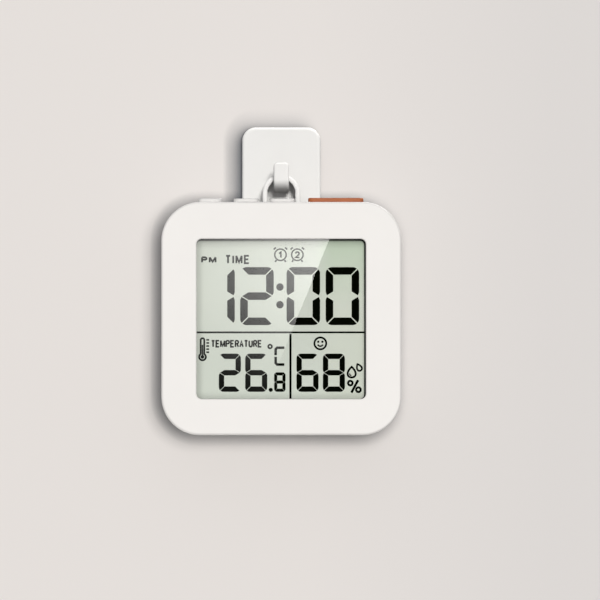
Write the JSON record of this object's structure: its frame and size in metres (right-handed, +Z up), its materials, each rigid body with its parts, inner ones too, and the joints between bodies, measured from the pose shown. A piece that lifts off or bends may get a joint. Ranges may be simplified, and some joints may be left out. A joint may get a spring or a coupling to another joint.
{
  "type": "thermometer hygrometer clock",
  "caption": "Square wall clock with a liquid crystal window for time, temperature and humidity, keys on its top edge, a hanging loop and a stick-on hook.",
  "frame": {"origin": "middle of the adhesive pad's back face, on the wall", "axes": "+Z up, +X right seen from the front, +Y into the wall; the display faces -Y"},
  "size_m": [0.08, 0.0255, 0.1027],
  "materials": {
    "hook_white": "moulded, satin",
    "loop_white": "moulded, satin",
    "pad_foam": "double-sided foam tape",
    "case_white": "fine moulded texture",
    "key_white": "moulded, satin",
    "key_orange": "moulded, satin",
    "clear_lens": "clear, polished",
    "tape_black": "film",
    "holder_grey": "moulded",
    "display_glass": "grey-green reflective display",
    "diffuser_white": "film",
    "guide_clear": "clear, polished",
    "lamp_white": "moulded",
    "rubber_strip": "striped silicone",
    "board_green": "solder resist over glass laminate",
    "resin_black": "cast resin",
    "steel_can": "drawn can",
    "bead_glass": "glass bead",
    "sensor_white": "moulded cage",
    "sounder_black": "moulded",
    "switch_black": "moulded",
    "cell_sleeve": "plain printed sleeve",
    "spring_plate": "nickel-plated spring steel",
    "screw_steel": "zinc-plated"
  },
  "bodies": {
    "wall_hook": {"hook_plate": "hook_white", "adhesive_pad": "pad_foam"},
    "hang_loop": {"hang_loop": "loop_white"},
    "clock": {"front_case": "case_white", "rear_case": "case_white", "window_lens": "clear_lens", "lens_tape": "tape_black", "lcd_frame": "holder_grey", "lcd_panel": "display_glass", "diffuser_sheet": "diffuser_white", "light_guide": "guide_clear", "backlight_led": "lamp_white", "zebra_strip": "rubber_strip", "main_pcb": "board_green", "driver_chip": "resin_black", "quartz_crystal": "steel_can", "thermistor": "bead_glass", "humidity_sensor": "sensor_white", "buzzer": "sounder_black", "tact_switches": "switch_black", "battery_upper": "cell_sleeve", "battery_lower": "cell_sleeve", "contact_plus": "spring_plate", "contact_minus": "spring_plate", "contact_bridge": "spring_plate", "case_screws": "screw_steel", "pcb_screws": "screw_steel"},
    "battery_door": {"battery_door": "case_white"},
    "desk_stand": {"desk_stand": "case_white"},
    "mode_key": {"mode_key": "key_white"},
    "up_key": {"up_key": "key_white"},
    "down_key": {"down_key": "key_white"},
    "snooze_key": {"snooze_key": "key_orange"}
  },
  "joints": [
    {"name": "loop_sway", "type": "hinge", "parent": "wall_hook", "child": "hang_loop", "pos_m": [0, -0.0052, -0.00304], "axis": [0, 1, 0], "range_deg": [-12, 12]},
    {"name": "clock_swing", "type": "hinge", "parent": "hang_loop", "child": "clock", "pos_m": [0, -0.0052, -0.00811], "axis": [-1, 0, 0], "range_deg": [0, 35]},
    {"name": "battery_door_hinge", "type": "hinge", "parent": "clock", "child": "battery_door", "pos_m": [0, -0.0044, -0.04884], "axis": [1, 0, 0], "range_deg": [0, 75]},
    {"name": "desk_stand_hinge", "type": "hinge", "parent": "clock", "child": "desk_stand", "pos_m": [0, -0.0049, -0.03004], "axis": [1, 0, 0], "range_deg": [0, 40]},
    {"name": "mode_key_press", "type": "slide", "parent": "clock", "child": "mode_key", "axis": [0, 0, -1], "range_m": [0, 0.0005], "stiffness_N_per_m": 300},
    {"name": "up_key_press", "type": "slide", "parent": "clock", "child": "up_key", "axis": [0, 0, -1], "range_m": [0, 0.0005], "stiffness_N_per_m": 300},
    {"name": "down_key_press", "type": "slide", "parent": "clock", "child": "down_key", "axis": [0, 0, -1], "range_m": [0, 0.0005], "stiffness_N_per_m": 300},
    {"name": "snooze_key_press", "type": "slide", "parent": "clock", "child": "snooze_key", "axis": [0, 0, -1], "range_m": [0, 0.0005], "stiffness_N_per_m": 300}
  ]
}
